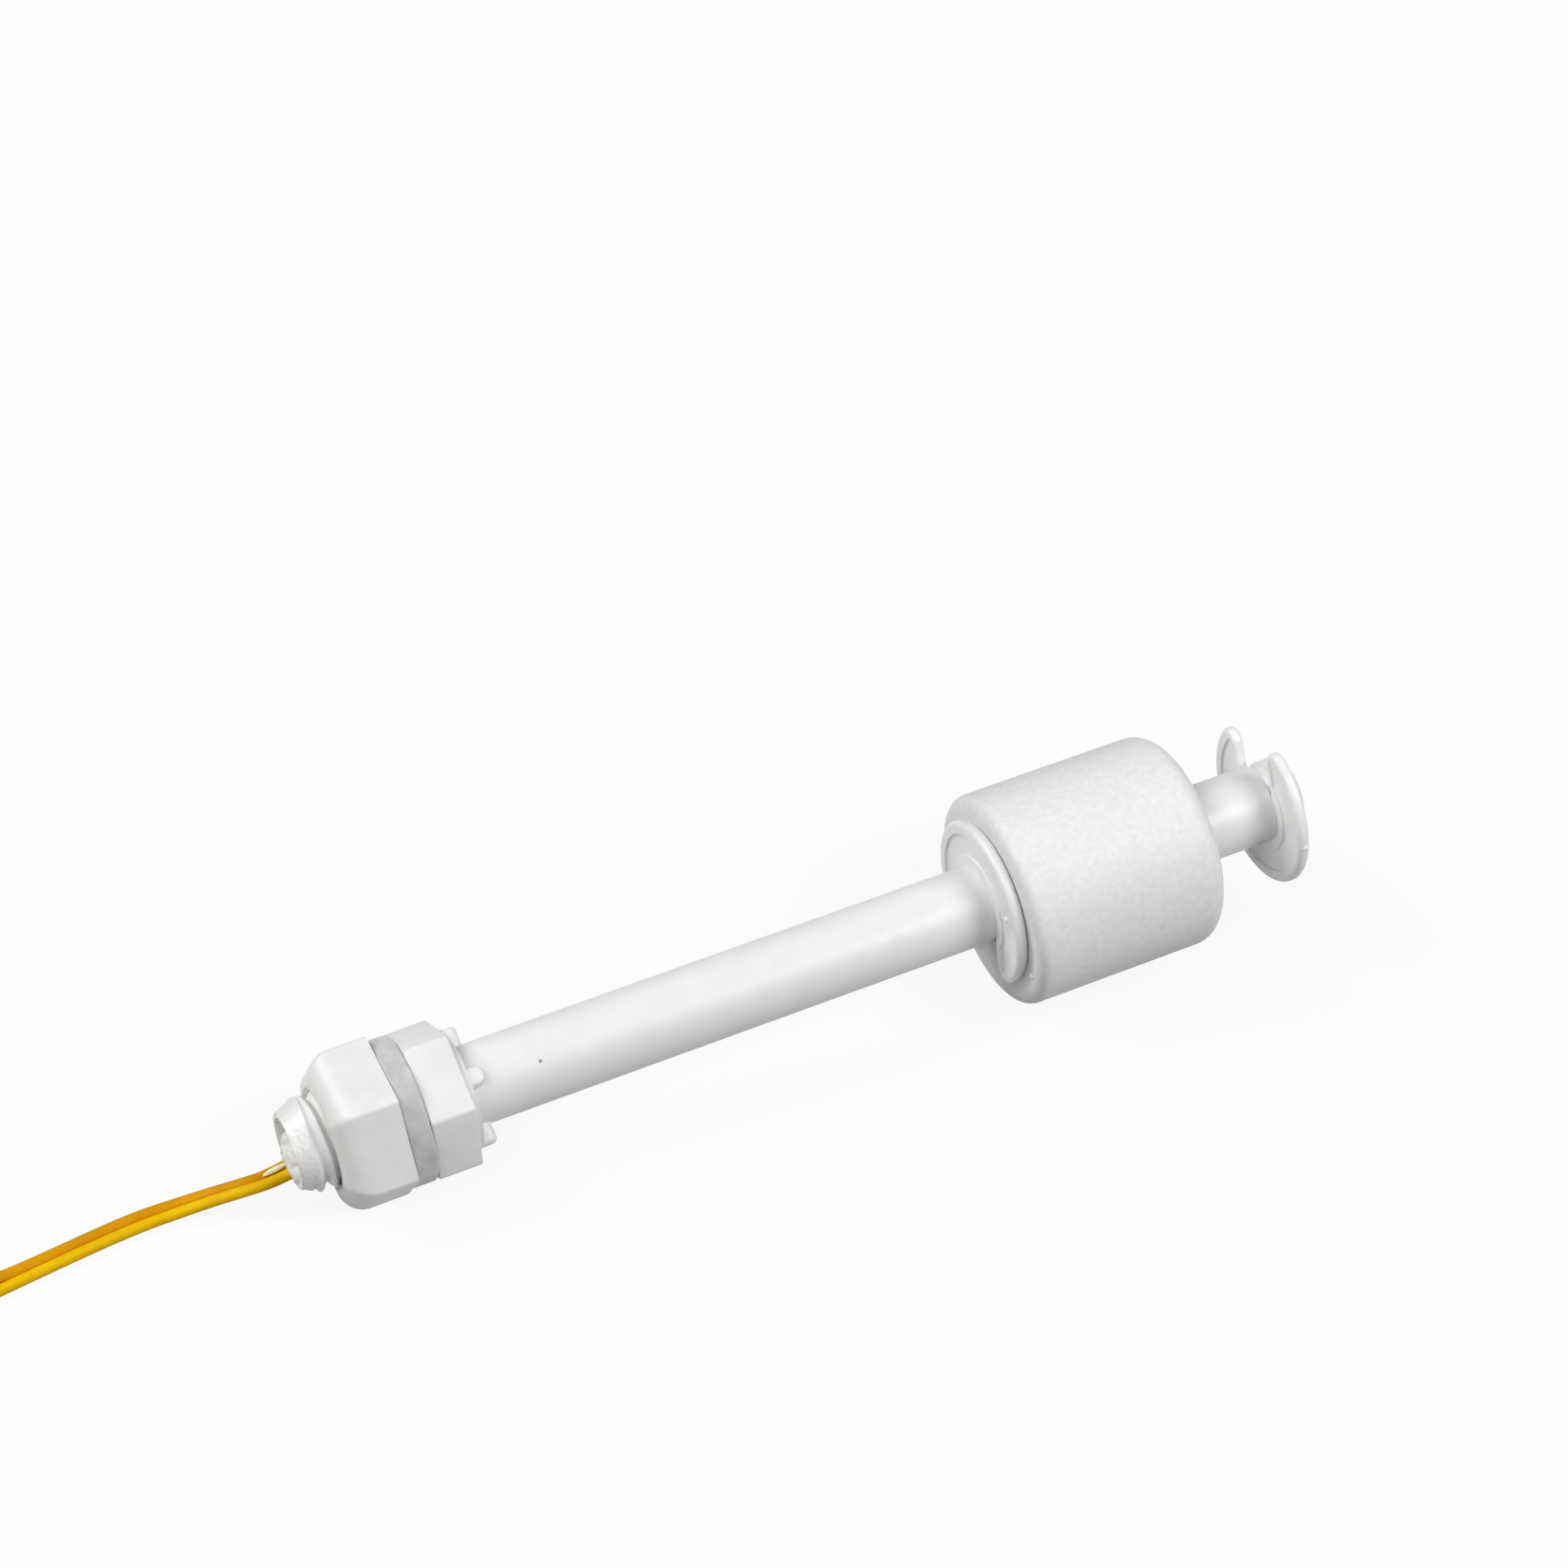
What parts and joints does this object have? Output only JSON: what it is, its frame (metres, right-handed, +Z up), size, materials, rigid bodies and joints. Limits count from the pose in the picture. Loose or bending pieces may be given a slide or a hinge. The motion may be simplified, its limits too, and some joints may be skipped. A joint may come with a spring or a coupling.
{
  "type": "float level switch",
  "caption": "Float level switch: a threaded plastic stem with a lock nut and gasket, a float that slides between snap clips, a sealed reed contact inside and insulated leads.",
  "frame": {"origin": "on the surface that the switch lies on, at the middle of the length and width of the switch without its free leads", "axes": "+X runs from the threaded head to the tip, level with the surface; +Z is up; the switch's own axis rises from head to tip by its resting tilt"},
  "size_m": [0.1653, 0.0319, 0.0241],
  "materials": {
    "polypropylene_moulding": "satin moulded",
    "nut_polypropylene": "satin moulded",
    "gasket_silicone": "smooth, slightly clear",
    "clip_polypropylene": "glossy moulded",
    "float_polypropylene": "matte with fine pits",
    "ferrite": "sintered",
    "reed_glass": "clear",
    "reed_alloy": "plated",
    "sleeve_silicone": "smooth",
    "solder": "bright",
    "potting_resin": "cast",
    "lead_insulation": "glossy extruded",
    "tinned_copper": "tinned strand",
    "tie_plastic": "smooth"
  },
  "bodies": {
    "root": {"stem_body": "polypropylene_moulding", "head_stop_clip": "clip_polypropylene", "tip_stop_clip": "clip_polypropylene", "reed_glass": "reed_glass", "reed_blade_head": "reed_alloy", "reed_blade_tip": "reed_alloy", "reed_sleeve": "sleeve_silicone", "solder_joint_head": "solder", "solder_joint_tip": "solder", "potting_plug": "potting_resin", "lead_a_inner": "lead_insulation", "lead_b_inner": "lead_insulation", "lead_a_inner_core": "tinned_copper", "lead_b_inner_core": "tinned_copper", "lead_a_tube": "lead_insulation", "lead_a_coil": "lead_insulation", "lead_a_tail": "lead_insulation", "lead_a_bare_end": "tinned_copper", "lead_b_tube": "lead_insulation", "lead_b_coil": "lead_insulation", "lead_b_tail": "lead_insulation", "lead_b_bare_end": "tinned_copper", "coil_tie": "tie_plastic"},
    "float": {"float_shell": "float_polypropylene", "float_cap": "float_polypropylene", "ring_magnet": "ferrite"},
    "gasket": {"sealing_gasket": "gasket_silicone"},
    "nut": {"lock_nut": "nut_polypropylene"}
  },
  "joints": [
    {"name": "float_slide", "type": "slide", "parent": "root", "child": "float", "axis": [0.9982, 0, 0.0598], "range_m": [0, 0.0096]},
    {"name": "gasket_travel", "type": "slide", "parent": "root", "child": "gasket", "axis": [-0.9982, 0, -0.0598], "range_m": [0, 0.003]},
    {"name": "nut_turn", "type": "hinge", "parent": "gasket", "child": "nut", "pos_m": [-0.0496, 0, 0.00768], "axis": [-0.9982, 0, -0.0598], "range_deg": [0, 720.5]}
  ],
  "couplings": [
    {"joint": "nut_turn", "follows": "gasket_travel", "rad_per_m": 4188.8}
  ]
}
